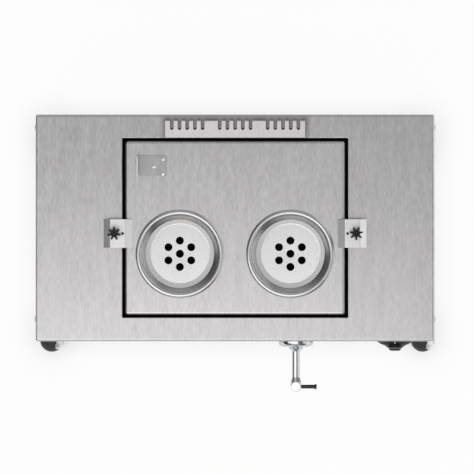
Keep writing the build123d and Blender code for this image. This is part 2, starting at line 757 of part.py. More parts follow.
def tap_plug():
    """Turning plug with its cross port and round cap."""
    low = TAP_Z + TAP_HEAD_BOTTOM + 2.0 + RUNNING_GAP
    cap_z = TAP_Z + TAP_HEAD_TOP + CLEAR
    plug = rod((TAP_X, TAP_Y, low), UP, TAP_PLUG_R, cap_z - low)
    plug += fillet(top_edges(rod((TAP_X, TAP_Y, cap_z), UP, TAP_CAP_R, TAP_CAP_H)), TAP_CAP_EDGE_R)
    plug -= rod((TAP_X - 10, TAP_Y, TAP_Z), RIGHTWARD, SPOUT_BORE_R - 0.5, 20.0)
    return plug - rod((TAP_X + LEVER_ROOT, TAP_Y, LEVER_Z), RIGHTWARD, LEVER_R, TAP_CAP_R)


def tap_lever():
    """Steel pin screwed into the plug's cap."""
    return rod((TAP_X + LEVER_ROOT, TAP_Y, LEVER_Z), RIGHTWARD, LEVER_R, LEVER_LENGTH - 2 * LEVER_ROOT)


def tap_grip():
    """Moulded sleeve on the lever pin, with a stop collar at its end."""
    start, pin_end = TAP_CAP_R + CLEAR, LEVER_LENGTH - LEVER_ROOT
    collar = LEVER_LENGTH - 3.2
    profile = chain(
        (LEVER_R, start),
        (LEVER_GRIP_R, start),
        (LEVER_GRIP_R, collar - 0.8),
        (LEVER_END_R, collar),
        (LEVER_END_R, LEVER_LENGTH - 0.6),
        (LEVER_END_R - 0.6, LEVER_LENGTH),
        (0, LEVER_LENGTH),
        (0, pin_end),
        (LEVER_R, pin_end),
        (LEVER_R, start),
    )
    return turned([profile], (TAP_X, TAP_Y, LEVER_Z), RIGHTWARD)


def tap_seal_washer():
    """Flat sealing washer between the lock nut and the tank."""
    ring = rod((TAP_X, TANK_FRONT, TAP_Z), REARWARD, 16.0, 2.0)
    return ring - rod((TAP_X, TANK_FRONT - 1, TAP_Z), REARWARD, SHANK_R, 4.0)


def tap_lock_nut():
    """Nut inside the tank that holds the tap's shank."""
    nut = hexagon_bar((TAP_X, TANK_FRONT + 2.0, TAP_Z), REARWARD, 30.0, 8.0)
    return nut - rod((TAP_X, TANK_FRONT, TAP_Z), REARWARD, SHANK_R, 12.0)


# Gas train


def control_knob():
    """Moulded gas knob: a flared bell skirt under an upright grip bar."""
    depth = KNOB_BACK_Y - (FRONT_Y - KNOB_REACH)
    lip, skirt_r, skirt_top = 0.8, 24.5, 5.2
    bell_r, bell_mid = 18.2, 7.8
    neck_r, bell_top = KNOB_GRIP_W / 2 + 0.9, 12.5
    curves = [
        chain((neck_r, bell_top), (0, bell_top), (0, 0), (KNOB_SKIRT_R, 0)),
        chain((KNOB_SKIRT_R, 0), (KNOB_SKIRT_R, lip), (skirt_r, skirt_top)),
        arc((skirt_r, skirt_top), (bell_r, bell_mid), (neck_r, bell_top)),
    ]
    back = (KNOB_X, KNOB_BACK_Y, KNOB_Z)
    knob = turned(curves, back, FORWARD)
    plane = Plane(origin=back, x_dir=UP, z_dir=FORWARD)
    grip = extrude(plane * RectangleRounded(KNOB_GRIP_L, KNOB_GRIP_W, KNOB_GRIP_W * 0.42), depth)
    knob += fillet(grip.faces().sort_by(Axis.Y)[0].edges(), KNOB_GRIP_EDGE_R)
    return knob - rod((KNOB_X, KNOB_BACK_Y + 1, KNOB_Z), FORWARD, STEM_R, 10.0)


def valve_stem():
    """Spindle of the gas tap, fixed in the knob."""
    front = KNOB_BACK_Y - 9.0
    return rod((KNOB_X, front, KNOB_Z), REARWARD, STEM_R, STEM_END - front)


def valve_push_pin():
    """Pin behind the spindle that opens the flame-failure valve when the knob is pressed."""
    start = STEM_END + CLEAR
    return rod((KNOB_X, start, KNOB_Z), REARWARD, PUSH_PIN_R, PUSH_PIN_LENGTH)


def gas_valve_body():
    """Gas tap body: spindle bore, inlet boss below and outlet boss on the left."""
    body_r, inlet_boss_r, outlet_boss_r = 13.0, 9.0, 8.0
    travel = KNOB_PUSH + 2.0
    face = PANEL_FRONT + SHEET
    port = (KNOB_X, VALVE_PORT_Y, KNOB_Z)
    body = rod((KNOB_X, VALVE_FRONT, KNOB_Z), REARWARD, body_r, VALVE_BACK - VALVE_FRONT)
    body += rod((KNOB_X, face, KNOB_Z), REARWARD, VALVE_NECK_R, VALVE_FRONT - face)
    body += rod(port, DOWN, inlet_boss_r, VALVE_BOSS) + rod(port, LEFTWARD, outlet_boss_r, VALVE_BOSS)
    stem_bore = STEM_END + travel - FRONT_Y
    body -= rod((KNOB_X, FRONT_Y, KNOB_Z), REARWARD, STEM_R + RUNNING_GAP, stem_bore)
    pin_bore = PUSH_PIN_LENGTH + travel + 1.0
    return body - rod((KNOB_X, STEM_END, KNOB_Z), REARWARD, PUSH_PIN_R + RUNNING_GAP, pin_bore)


def gas_valve_nut():
    """Lock nut that holds the gas tap behind the front panel."""
    face = PANEL_FRONT + SHEET
    nut = hexagon_bar((KNOB_X, face, KNOB_Z), REARWARD, 20.0, 5.0)
    return nut - rod((KNOB_X, face - 1, KNOB_Z), REARWARD, VALVE_NECK_R, 8.0)


def gas_inlet_pipe():
    """Pipe from the bulkhead inlet under the base to the gas tap."""
    thread_low, thread_high = BASE_Z - INLET_DROP, BASE_TOP + 12.0
    bend = 20.0
    pipe = swept_pipe(
        [
            (KNOB_X, INLET_Y, thread_high),
            (KNOB_X, INLET_Y, INLET_RUN_Z),
            (KNOB_X, VALVE_PORT_Y, INLET_RUN_Z),
            (KNOB_X, VALVE_PORT_Y, KNOB_Z - VALVE_BOSS),
        ],
        bend,
        PIPE_R,
    )
    thread = rod((KNOB_X, INLET_Y, thread_low), UP, INLET_R, thread_high - thread_low)
    thread = chamfer(thread.edges().sort_by(Axis.Z)[0], 1.0)
    flange = hexagon_bar((KNOB_X, INLET_Y, BASE_Z), DOWN, INLET_HEX, 3.0)
    lock_nut = hexagon_bar((KNOB_X, INLET_Y, BASE_TOP), UP, INLET_HEX, 8.0)
    return pipe + thread + flange + lock_nut - rod((KNOB_X, INLET_Y, thread_low - 1), UP, 7.0, 20.0)


def burner():
    """Bar burner with a closed left end, a flared air inlet and two rows of flame slots."""
    length = BURNER_RIGHT - BURNER_LEFT
    wall, throat_r, mouth_r = 2.5, 9.5, 13.5
    inner_r = BURNER_R - wall
    profile = chain(
        (0, 0),
        (BURNER_R - 3.0, 0),
        (BURNER_R, 3.0),
        (BURNER_R, length - 50.0),
        (throat_r + wall, length - 28.0),
        (throat_r + wall, length - 12.0),
        (mouth_r + wall, length),
        (mouth_r, length),
        (throat_r, length - 12.0),
        (throat_r, length - 30.0),
        (inner_r, length - 52.0),
        (inner_r, 4.0),
        (0, 4.0),
        (0, 0),
    )
    axis = (BURNER_LEFT, BODY_Y, BURNER_Z)
    tube = turned([profile], axis, RIGHTWARD)
    slot_count, slot_pitch = 16, 12.0
    slots = Sketch()
    for n in range(slot_count):
        for y in (-7.0, 7.0):
            slots += Pos(n * slot_pitch, y) * SlotOverall(9.0, 2.4, rotation=90)
    tube -= extrude(Pos(BURNER_LEFT + 16.0, BODY_Y, BURNER_Z + 8.0) * slots, BURNER_R)
    for x in (BURNER_LEFT + 30.0, 40.0):
        post = block((x - 1, x + 1), (BODY_Y - 10, BODY_Y + 10), (TRAY_Z + SHEET, BURNER_Z))
        tube += post - rod(axis, RIGHTWARD, inner_r + wall / 2, length)
    return tube


def burner_injector():
    """Brass jet that blows gas into the burner's air inlet."""
    jet = hexagon_bar((INJECTOR_X, BODY_Y, BURNER_Z), RIGHTWARD, 14.0, 12.0)
    jet += rod((INJECTOR_X - 8.0, BODY_Y, BURNER_Z), RIGHTWARD, 4.0, 8.0)
    return jet - rod((INJECTOR_X - 9.0, BODY_Y, BURNER_Z), RIGHTWARD, 1.0, 15.0)


def burner_feed_pipe():
    """Pipe from the gas tap to the injector."""
    start_x = KNOB_X - VALVE_BOSS
    turn_x = start_x - 30.0
    points = [
        (start_x, VALVE_PORT_Y, KNOB_Z),
        (turn_x, VALVE_PORT_Y, KNOB_Z),
        (turn_x, BODY_Y, BURNER_Z),
        (INJECTOR_X + 12.0, BODY_Y, BURNER_Z),
    ]
    return swept_pipe(points, 20.0, 4.0)


def burner_tray():
    """Combustion chamber round the burner, standing on the base and closed above by the tank."""
    half_w, half_d = TANK_W / 2 + SHEET, TANK_D / 2 + SHEET
    front, rear = BODY_Y - half_d, BODY_Y + half_d
    high = TANK_FLOOR_Z - SHEET - CLEAR
    tray = block((-half_w, half_w), (front, rear), (TRAY_Z, high))
    tray -= block(
        (-half_w + SHEET, half_w - SHEET), (front + SHEET, rear - SHEET), (TRAY_Z + SHEET, high + 1)
    )
    tray -= block((-FLUE_W / 2, FLUE_W / 2), (BODY_Y, rear + 1), FLUE_MOUTH)
    tray -= block((half_w - 10, half_w + 10), (BODY_Y - 34, BODY_Y + 34), (BURNER_Z - 24, BURNER_Z + 24))
    for y in (BODY_Y - 70.0, BODY_Y + 70.0):
        tray -= block((-130, 130), (y - 20, y + 20), (TRAY_Z - 1, TRAY_Z + 2))
    for x in (-half_w + 30.0, half_w - 30.0):
        for y in (front + 20.0, rear - 20.0):
            tray += block((x - 15, x + 15), (y - 1, y + 1), (BASE_TOP, TRAY_Z))
    return tray


def thermocouple():
    """Flame sensor beside the burner, with its lead to the back of the gas tap."""
    sensor_x, sensor_r, lead_r = 60.0, 3.0, 1.5
    sensor_low, sensor_high = SENSOR_LEAD_Z + 16.0, BURNER_Z + 30.0
    loop_y = VALVE_BACK + 40.0
    sensor = rod((sensor_x, SENSOR_Y, sensor_low), UP, sensor_r, sensor_high - sensor_low)
    lead = swept_pipe(
        [
            (sensor_x, SENSOR_Y, sensor_low),
            (sensor_x, SENSOR_Y, SENSOR_LEAD_Z),
            (KNOB_X - 30.0, SENSOR_Y, SENSOR_LEAD_Z),
            (KNOB_X, loop_y, KNOB_Z),
            (KNOB_X, VALVE_BACK, KNOB_Z),
        ],
        10.0,
        lead_r,
    )
    return sensor + lead


# Casters


def caster_frame(place):
    """Local frame of a caster: swivel axis at the origin, trailing towards -Y."""
    x, y = place
    return Pos(x, y, 0) * Rot(0, 0, CASTER_TURN)


def ball(radius):
    """Sphere about the middle of the wheel."""
    return Pos(*BALL) * Sphere(radius)


def caster_hood(place):
    """Plated hood: swivel boss, an arm round the ball's side and a hub that carries the axle."""
    boss_low, boss_edge = 30.0, 1.5
    elbow_place, elbow_r, hub_arm_r = (16.5, -18.0), 4.5, 6.0
    axle_back = BALL_R / 2
    hub = BALL + AXLE * BALL_R
    swivel = Circle(CASTER_BOSS_R).edges()
    elbow = (Pos(*elbow_place) * Circle(elbow_r)).edges()
    end = (Pos(hub.X, hub.Y) * Circle(hub_arm_r)).edges()
    arm = make_hull([*swivel, *elbow]) + make_hull([*elbow, *end])
    shell = ball(BALL_R + WHEEL_GAP + HOOD_WALL) & extrude(Pos(0, 0, BALL_R) * arm, CASTER_BOSS_TOP)
    boss = rod((0, 0, boss_low), UP, CASTER_BOSS_R, CASTER_BOSS_TOP - boss_low)
    hood = shell + fillet(top_edges(boss), boss_edge) - ball(BALL_R + WHEEL_GAP)
    hub_start = BALL + AXLE * (HUB_SEAT + WHEEL_GAP)
    hood += rod(hub_start, AXLE, HUB_R, BALL_R) & ball(BALL_R + HUB_CROWN)
    hood += rod(BALL - AXLE * axle_back, AXLE, AXLE_R, axle_back + BALL_R)
    hood -= Pos(*(BALL + AXLE * (BALL_R + HUB_CROWN))) * Sphere(HUB_DIMPLE_R)
    hood -= rod((0, 0, CASTER_STEM_LOW), UP, CASTER_STEM_R, CASTER_BOSS_TOP - CASTER_STEM_LOW + 1)
    return caster_frame(place) * hood


def caster_wheel(place):
    """Ball-shaped wheel on the tilted axle, with a pocket for the hood's hub."""
    wheel = ball(BALL_R) - rod(BALL + AXLE * HUB_SEAT, AXLE, HUB_R + WHEEL_GAP, BALL_R)
    wheel -= rod(BALL - AXLE * (BALL_R / 2 + 1), AXLE, AXLE_R + RUNNING_GAP, 2 * BALL_R)
    return caster_frame(place) * wheel


def caster_stem(place):
    """Steel swivel stem with its thrust shoulder."""
    stem = rod((0, 0, CASTER_STEM_LOW), UP, CASTER_STEM_R, SOCKET_TOP - 5.0 - CASTER_STEM_LOW)
    return caster_frame(place) * (stem + rod((0, 0, CASTER_BOSS_TOP), UP, SOCKET_R, 1.5))


def caster_sockets():
    """Flanged bushes in the base that hold the caster stems."""
    sockets = []
    low = BASE_Z - SOCKET_FLANGE_H
    for x, y in caster_places().values():
        flange = rod((x, y, low), UP, SOCKET_FLANGE_R, SOCKET_FLANGE_H)
        tube = rod((x, y, BASE_Z), UP, SOCKET_R, SOCKET_TOP - BASE_Z)
        bore = rod((x, y, low - 1), UP, CASTER_STEM_R + RUNNING_GAP, SOCKET_TOP - low - 1)
        sockets.append(flange + tube - bore)
    return sockets


def pieces():
    """Every piece of the machine: node name to a solid, or a list of like solids."""
    made = {
        "deck_panel": deck_panel(),
        "left_side_panel": side_panel(LEFT),
        "right_side_panel": side_panel(RIGHT),
        "front_panel": front_panel(),
        "rear_panel": rear_panel(),
        "base_plate": base_plate(),
        "chassis_frame": chassis_frame(),
        "deck_screws": deck_screws(),
        "panel_screws": panel_screws(),
        "flue_duct": flue_duct(),
        "flue_cowl": flue_cowl(),
        "water_tank": water_tank(),
        "lid_seal": lid_seal(),
        "lid_panel": lid_panel(),
        "lid_bracket": lid_bracket(),
        "lid_bracket_rivets": lid_bracket_rivets(),
        "clamp_rivet_nuts": clamp_rivet_nuts(),
        "tap_rosette": tap_rosette(),
        "tap_body": tap_body(),
        "tap_plug": tap_plug(),
        "tap_lever": tap_lever(),
        "tap_grip": tap_grip(),
        "tap_seal_washer": tap_seal_washer(),
        "tap_lock_nut": tap_lock_nut(),
        "control_knob": control_knob(),
        "valve_stem": valve_stem(),
        "valve_push_pin": valve_push_pin(),
        "gas_valve_body": gas_valve_body(),
        "gas_valve_nut": gas_valve_nut(),
        "gas_inlet_pipe": gas_inlet_pipe(),
        "burner": burner(),
        "burner_injector": burner_injector(),
        "burner_feed_pipe": burner_feed_pipe(),
        "burner_tray": burner_tray(),
        "thermocouple": thermocouple(),
        "caster_sockets": caster_sockets(),
    }
    for name, side in (("left", LEFT), ("right", RIGHT)):
        made[f"{name}_teapot_seat"] = teapot_seat(side)
        made[f"{name}_clamp_bridge"] = clamp_bridge(side)
        made[f"{name}_star_knob"] = star_knob(side)
        made[f"{name}_knob_stud"] = knob_stud(side)
        made[f"{name}_knob_washer"] = knob_washer(side)
    for name, place in caster_places().items():
        made[f"{name}_caster_hood"] = caster_hood(place)
        made[f"{name}_caster_wheel"] = caster_wheel(place)
        made[f"{name}_caster_stem"] = caster_stem(place)
    return made


def main():
    os.makedirs("parts", exist_ok=True)
    for name, shape in pieces().items():
        group = shape if isinstance(shape, list) else [shape]
        solids = [solid for piece in group for solid in piece.solids()]
        export_step(Compound(children=solids), f"parts/{name}.step")


if __name__ == "__main__":
    main()
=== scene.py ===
"""Looks of a gas-fired tea brewing machine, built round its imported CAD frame."""

from math import radians, tan

import bmesh
import bpy
from mathutils import Matrix, Vector

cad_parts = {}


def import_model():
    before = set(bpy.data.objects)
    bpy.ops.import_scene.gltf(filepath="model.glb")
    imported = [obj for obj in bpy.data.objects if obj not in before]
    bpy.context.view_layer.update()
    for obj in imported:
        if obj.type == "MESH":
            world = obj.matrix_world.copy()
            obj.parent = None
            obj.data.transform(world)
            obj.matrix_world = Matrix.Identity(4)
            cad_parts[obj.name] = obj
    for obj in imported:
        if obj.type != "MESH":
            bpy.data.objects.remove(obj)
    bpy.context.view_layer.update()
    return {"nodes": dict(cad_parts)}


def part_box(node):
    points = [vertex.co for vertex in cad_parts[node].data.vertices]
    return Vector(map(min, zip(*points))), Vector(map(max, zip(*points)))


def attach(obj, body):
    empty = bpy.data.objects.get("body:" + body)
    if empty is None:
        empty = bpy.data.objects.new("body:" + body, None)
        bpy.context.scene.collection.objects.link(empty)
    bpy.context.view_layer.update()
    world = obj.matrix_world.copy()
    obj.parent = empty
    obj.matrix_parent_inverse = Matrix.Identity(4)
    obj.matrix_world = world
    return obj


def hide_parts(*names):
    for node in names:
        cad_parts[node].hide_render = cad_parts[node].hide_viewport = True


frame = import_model()

MM = 0.001
SIDES = ("left", "right")
CORNERS = ("front_left", "front_right", "rear_left", "rear_right")


# Tools for materials


def linear(hex_text):
    """Linear RGBA of an sRGB hex colour."""
    channels = [int(hex_text[i : i + 2], 16) / 255 for i in (1, 3, 5)]
    return [c / 12.92 if c <= 0.04045 else ((c + 0.055) / 1.055) ** 2.4 for c in channels] + [1.0]


def add(tree, kind, inputs=None, **settings):
    """Adds a node with its settings; an input, by name or number, is a constant or another node's output."""
    node = tree.nodes.new(kind)
    for name, value in settings.items():
        setattr(node, name, value)
    for key, value in (inputs or {}).items():
        if isinstance(value, bpy.types.NodeSocket):
            tree.links.new(value, node.inputs[key])
        else:
            node.inputs[key].default_value = value
    return node


def new_material(name, inputs):
    """A material with one Principled shader, whose constants are set on its own sockets."""
    material = bpy.data.materials.new(name)
    material.use_nodes = True
    tree = material.node_tree
    tree.nodes.clear()
    shader = add(tree, "ShaderNodeBsdfPrincipled", inputs)
    add(tree, "ShaderNodeOutputMaterial", {"Surface": shader.outputs[0]})
    return material, tree, shader


def finish_with(tree, shader, pattern, colours, roughness, height_mm=0.0):
    """Drives colour, roughness and bump of a shader from one pattern that runs from 0 to 1."""
    low, high = (linear(c) for c in colours)
    colour = add(tree, "ShaderNodeMix", {"Factor": pattern, 6: low, 7: high}, data_type="RGBA")
    tree.links.new(colour.outputs[2], shader.inputs["Base Color"])
    limits = {"To Min": roughness[0], "To Max": roughness[1]}
    spread = add(tree, "ShaderNodeMapRange", {"Value": pattern, **limits})
    tree.links.new(spread.outputs[0], shader.inputs["Roughness"])
    if height_mm:
        bump = add(tree, "ShaderNodeBump", {"Height": pattern, "Distance": height_mm * MM, "Strength": 1.0})
        tree.links.new(bump.outputs[0], shader.inputs["Normal"])


def stretched(tree, vector, sizes_mm, place=(0, 0, 0)):
    """A vector counted in pattern sizes, given in millimetres along each axis, from a place in metres."""
    from_place = add(tree, "ShaderNodeVectorMath", {0: vector, 1: place}, operation="SUBTRACT")
    scales = [1 / (size * MM) for size in sizes_mm]
    counted = add(tree, "ShaderNodeVectorMath", {0: from_place.outputs[0], 1: scales}, operation="MULTIPLY")
    return counted.outputs[0]


def blend_in(material, share, colour):
    """Mixes another colour into a finished material where share rises to 1."""
    tree = material.node_tree
    base = tree.nodes["Principled BSDF"].inputs["Base Color"]
    under = base.links[0].from_socket
    mixed = add(tree, "ShaderNodeMix", {"Factor": share, 6: under, 7: linear(colour)}, data_type="RGBA")
    tree.links.new(mixed.outputs[2], base)


METAL = {"Metallic": 1.0}
WHITE = (1, 1, 1, 1)
# The part of a noise that holds nearly all of it, and the detail of a fine one
NOISE_RANGE = {"From Min": 0.3, "From Max": 0.7}
FINE_DETAIL = 2.0


# Brushed sheet

# The axis of the grain, then the width and length in millimetres of its streaks and of their bundles
DECK_BRUSHING = ("y", (3.2, 14.0), (11.0, 60.0))
PANEL_BRUSHING = ("z", (3.0, 14.0), (14.0, 40.0))
# How much of the pattern is bundles, the part of its noise that shows, its detail, and its height in mm
BUNDLE_SHARE = 0.38
STREAK_RANGE = {"From Min": 0.26, "From Max": 0.74}
STREAK_DETAIL, STREAK_HEIGHT = 3.0, 0.006
# A face whose normal leans this far along the grain meets it end on
END_ON = 0.7

DECK_COLOURS = ("#b9b7b8", "#dbd9da")
LID_COLOURS = ("#bdbbbc", "#dfddde")
PANEL_COLOURS = ("#c0bebf", "#d5d3d4")
# The cowl's sheet is drawn darker than the deck's: painted shade
COWL_SHADED_COLOURS = ("#a3a1a2", "#c0bebf")
BRACKET_COLOURS = ("#b1afb0", "#cdcbcc")
SHEET_ROUGHNESS = (0.36, 0.46)


def brushed_stainless(name, brushing, colours):
    """Brushed stainless sheet: long fine scratches one way, so a broad soft sheen with faint streaks.

    The real scratches are a few hundredths of a millimetre wide; they are drawn much coarser, to show.
    """
    along, streak, bundle = brushing
    axis = "xyz".index(along)
    turned_axis = 0 if along == "z" else 2
    material, tree, shader = new_material(name, METAL)
    place = add(tree, "ShaderNodeTexCoord")
    normal = add(tree, "ShaderNodeSeparateXYZ", {0: place.outputs["Normal"]})
    facing = add(tree, "ShaderNodeMath", {0: normal.outputs[axis]}, operation="ABSOLUTE")
    is_end = add(tree, "ShaderNodeMath", {0: facing.outputs[0], 1: END_ON}, operation="GREATER_THAN")

    def layer(width, length):
        """One noise, drawn out along the grain, and up or across on faces that the grain meets end on."""
        flat = [width] * 3
        flat[axis] = length
        end_on = flat[:]
        end_on[turned_axis] = length
        choices = {
            "Factor": is_end.outputs[0],
            4: stretched(tree, place.outputs["Object"], flat),
            5: stretched(tree, place.outputs["Object"], end_on),
        }
        vector = add(tree, "ShaderNodeMix", choices, data_type="VECTOR")
        drawn_out = {"Vector": vector.outputs[1], "Scale": 1.0, "Detail": STREAK_DETAIL}
        return add(tree, "ShaderNodeTexNoise", drawn_out).outputs[0]

    layers = {"Factor": BUNDLE_SHARE, 2: layer(*streak), 3: layer(*bundle)}
    mixed = add(tree, "ShaderNodeMix", layers, data_type="FLOAT")
    pattern = add(tree, "ShaderNodeMapRange", {"Value": mixed.outputs[0], **STREAK_RANGE})
    finish_with(tree, shader, pattern.outputs[0], colours, SHEET_ROUGHNESS, STREAK_HEIGHT)
    return material


def edge_highlit_stainless(name, top):
    """Brushed stainless with a painted highlight along its upper edge: dull, with the edge drawn bright."""
    dull_below, bright_above = top - 2.5 * MM, top - 0.5 * MM
    material = brushed_stainless(name, DECK_BRUSHING, BRACKET_COLOURS)
    tree = material.node_tree
    place = add(tree, "ShaderNodeTexCoord")
    height = add(tree, "ShaderNodeSeparateXYZ", {0: place.outputs["Object"]})
    limits = {"From Min": dull_below, "From Max": bright_above}
    edge_highlight = add(tree, "ShaderNodeMapRange", {"Value": height.outputs[2], **limits})
    # Painted highlight: the upper edge drawn near white
    blend_in(material, edge_highlight.outputs[0], "#f6f5f5")
    return material


def paint_shade_in_box(material, low, high):
    """Paints shade on a sheet inside a box seen from above, where a cowl over it shades it: dull brown-grey,
    fading at its rim.
    """
    fade = 12 * MM
    tree = material.node_tree
    place = add(tree, "ShaderNodeTexCoord")
    middle, half = (low + high) / 2, (high - low) / 2
    offset = add(tree, "ShaderNodeVectorMath", {0: place.outputs["Object"], 1: middle}, operation="SUBTRACT")
    size = add(tree, "ShaderNodeVectorMath", {0: offset.outputs[0]}, operation="ABSOLUTE")
    parts = add(tree, "ShaderNodeSeparateXYZ", {0: size.outputs[0]})
    shares = []
    for axis in (0, 1):
        ramp = {"Value": parts.outputs[axis], "From Min": half[axis] + fade, "From Max": half[axis]}
        share = add(tree, "ShaderNodeMapRange", ramp, interpolation_type="SMOOTHSTEP")
        shares.append(share.outputs[0])
    cowl_shade = add(tree, "ShaderNodeMath", {0: shares[0], 1: shares[1]}, operation="MULTIPLY")
    # Painted shade: the sheet under the cowl drawn a darker brown-grey
    blend_in(material, cowl_shade.outputs[0], "#a3a09f")


# Teapot seats, in millimetres from their axis

# Inner and outer edge of the shelf that a teapot's foot stands on
SHELF = (53.0, 60.6)
# Inner edge, crest and outer edge of the lip in the CAD, and where the spinning has rolled the crest to
LIP, ROLLED_CREST = (69.0, 71.6, 77.6), 72.8
# The shelf, and a seat's bottom, dip slightly towards the middle
SHELF_DIP, BOTTOM_DIP = radians(1.9), radians(0.5)
# Corners of the CAD mesh that lie closer than this are one, and edges that turn by more than this stay crisp
MERGE_DISTANCE, SHARP_ANGLE = 0.001, radians(30)
BOTTOM_COLOURS, SHELF_SHADE_COLOUR, WALL_COLOUR = ("#e0dfdf", "#e8e7e7"), "#c3c2c1", "#d0cfcf"
SPUN_ROUGHNESS, LIP_ROUGHNESS = (0.24, 0.3), 0.32


def spun_stainless(name, centre):
    """Stainless spun on a lathe: faint rings, painted shade on the shelf, and a duller wall and lip."""
    # In millimetres: the turned lines, and how softly the shelf and the lip begin
    line_width, line_height, soft_edge, half_lip_edge = 1.4, 0.0009, 0.8, 0.5
    # Metres across, and heights so stretched that they no longer count
    plan_sizes = (1000, 1000, 1e9)
    material, tree, shader = new_material(name, METAL)
    place = add(tree, "ShaderNodeTexCoord")
    plan = stretched(tree, place.outputs["Object"], plan_sizes, centre)
    radius = add(tree, "ShaderNodeVectorMath", {0: plan}, operation="LENGTH").outputs["Value"]
    turned = {"W": radius, "Scale": 1 / (line_width * MM), "Detail": FINE_DETAIL}
    lines = add(tree, "ShaderNodeTexNoise", turned, noise_dimensions="1D")
    pattern = add(tree, "ShaderNodeMapRange", {"Value": lines.outputs[0], **NOISE_RANGE})
    finish_with(tree, shader, pattern.outputs[0], BOTTOM_COLOURS, SPUN_ROUGHNESS, line_height)
    from_shelf = add(tree, "ShaderNodeMath", {0: radius, 1: sum(SHELF) / 2 * MM}, operation="SUBTRACT")
    off_shelf = add(tree, "ShaderNodeMath", {0: from_shelf.outputs[0]}, operation="ABSOLUTE")
    half = (SHELF[1] - SHELF[0]) / 2
    limits = {"From Min": half * MM, "From Max": (half - soft_edge) * MM}
    on_shelf = add(tree, "ShaderNodeMapRange", {"Value": off_shelf.outputs[0], **limits})
    # Painted shade: the shelf drawn darker than the bottom
    blend_in(material, on_shelf.outputs[0], SHELF_SHADE_COLOUR)
    limits = {"From Min": (SHELF[1] - soft_edge) * MM, "From Max": SHELF[1] * MM}
    on_wall = add(tree, "ShaderNodeMapRange", {"Value": radius, **limits})
    blend_in(material, on_wall.outputs[0], WALL_COLOUR)
    limits = {"From Min": (LIP[0] - half_lip_edge) * MM, "From Max": (LIP[0] + half_lip_edge) * MM}
    on_lip = add(tree, "ShaderNodeMapRange", {"Value": radius, **limits})
    spun = shader.inputs["Roughness"].links[0].from_socket
    choices = {"Factor": on_lip.outputs[0], 2: spun, 3: LIP_ROUGHNESS}
    dulled = add(tree, "ShaderNodeMix", choices, data_type="FLOAT")
    tree.links.new(dulled.outputs[0], shader.inputs["Roughness"])
    return material


# Finishes with an even grain


def speckled(name, inputs, colours, roughness, grit_mm, height_mm=0.0, detail=FINE_DETAIL):
    """A finish with an even, fine grain the same in every direction."""
    material, tree, shader = new_material(name, inputs)
    place = add(tree, "ShaderNodeTexCoord")
    counted = stretched(tree, place.outputs["Object"], [grit_mm] * 3)
    noise = add(tree, "ShaderNodeTexNoise", {"Vector": counted, "Scale": 1.0, "Detail": detail})
    pattern = add(tree, "ShaderNodeMapRange", {"Value": noise.outputs[0], **NOISE_RANGE})
    finish_with(tree, shader, pattern.outputs[0], colours, roughness, height_mm)
    return material


def satin_stainless():
    """Bead-blasted stainless: a pale, even satin with no direction."""
    colours = ("#e8e7e7", "#f3f2f2")
    return speckled("satin_stainless", METAL, colours, (0.4, 0.48), grit_mm=1.2, height_mm=0.004)


def mill_stainless():
    """Cold-rolled stainless as it comes from the mill: smooth, grey and slightly cloudy."""
    colours = ("#a9a8a5", "#bdbcb9")
    return speckled("mill_stainless", METAL, colours, (0.28, 0.4), grit_mm=18.0, detail=4.0)


def limed_stainless():
    """Stainless dulled by years of boiling water: dark, matt grey with patches of scale."""
    colours = ("#4b4a48", "#62605d")
    return speckled("limed_stainless", METAL, colours, (0.5, 0.65), grit_mm=14.0, height_mm=0.02, detail=5.0)


def bright_aluminium():
    """Bright aluminium of blind rivets: paler than steel, with a soft shine."""
    colours = ("#f0f0f0", "#f9f9f9")
    return speckled("bright_aluminium", METAL, colours, (0.48, 0.56), grit_mm=1.5, height_mm=0.002)


def polished_chrome():
    """Chrome plate on polished brass: a cool mirror with barely any haze."""
    colours = ("#c3c4c6", "#cfd0d2")
    return speckled("polished_chrome", METAL, colours, (0.035, 0.07), grit_mm=9.0)


def bright_zinc():
    """Zinc-plated steel: a bluish, slightly hazy bright grey."""
    colours = ("#b9bbbe", "#cdcfd1")
    return speckled("bright_zinc", METAL, colours, (0.26, 0.36), grit_mm=1.5, height_mm=0.003)


def plated_zinc_casting():
    """Plated zinc casting with a satin lacquer: pale, with a soft and even shine."""
    colours = ("#ececed", "#f5f5f6")
    return speckled("plated_zinc_casting", METAL, colours, (0.38, 0.48), grit_mm=6.0, height_mm=0.004)


def galvanised_steel():
    """Hot-dipped zinc: pale grey with large soft crystals."""
    colours = ("#9b9d9e", "#b8babb")
    return speckled("galvanised_steel", METAL, colours, (0.35, 0.5), grit_mm=7.0, height_mm=0.01, detail=1.0)


def machined_brass():
    """Turned brass: warm yellow with a fine tool grain."""
    colours = ("#b08a45", "#c9a55c")
    return speckled("machined_brass", METAL, colours, (0.25, 0.38), grit_mm=0.9, height_mm=0.006)


def drawn_copper():
    """Drawn copper tube, dulled by air: reddish brown with darker clouds."""
    colours = ("#9c5f42", "#bd7a58")
    return speckled("drawn_copper", METAL, colours, (0.25, 0.42), grit_mm=6.0, detail=4.0)


def sooted_iron():
    """Cast iron, burnt dark: coarse sand-cast skin with a rusty cast."""
    inputs, colours = {"Metallic": 0.6}, ("#2a2725", "#3d3733")
    return speckled("sooted_cast_iron", inputs, colours, (0.6, 0.8), grit_mm=1.8, height_mm=0.12, detail=5.0)


def grey_primer():
    """Sprayed grey primer: flat, with a light orange peel."""
    colours = ("#5d6063", "#686b6e")
    return speckled("grey_primer", {"IOR": 1.5}, colours, (0.5, 0.62), grit_mm=3.0, height_mm=0.03)


def moulded_black(name, colours, specular):
    """Moulded black nylon: near black, with a fine spark-eroded grain that scatters the gloss."""
    inputs = {"IOR": 1.5, "Specular IOR Level": specular}
    return speckled(name, inputs, colours, (0.42, 0.52), grit_mm=0.7, height_mm=0.02)


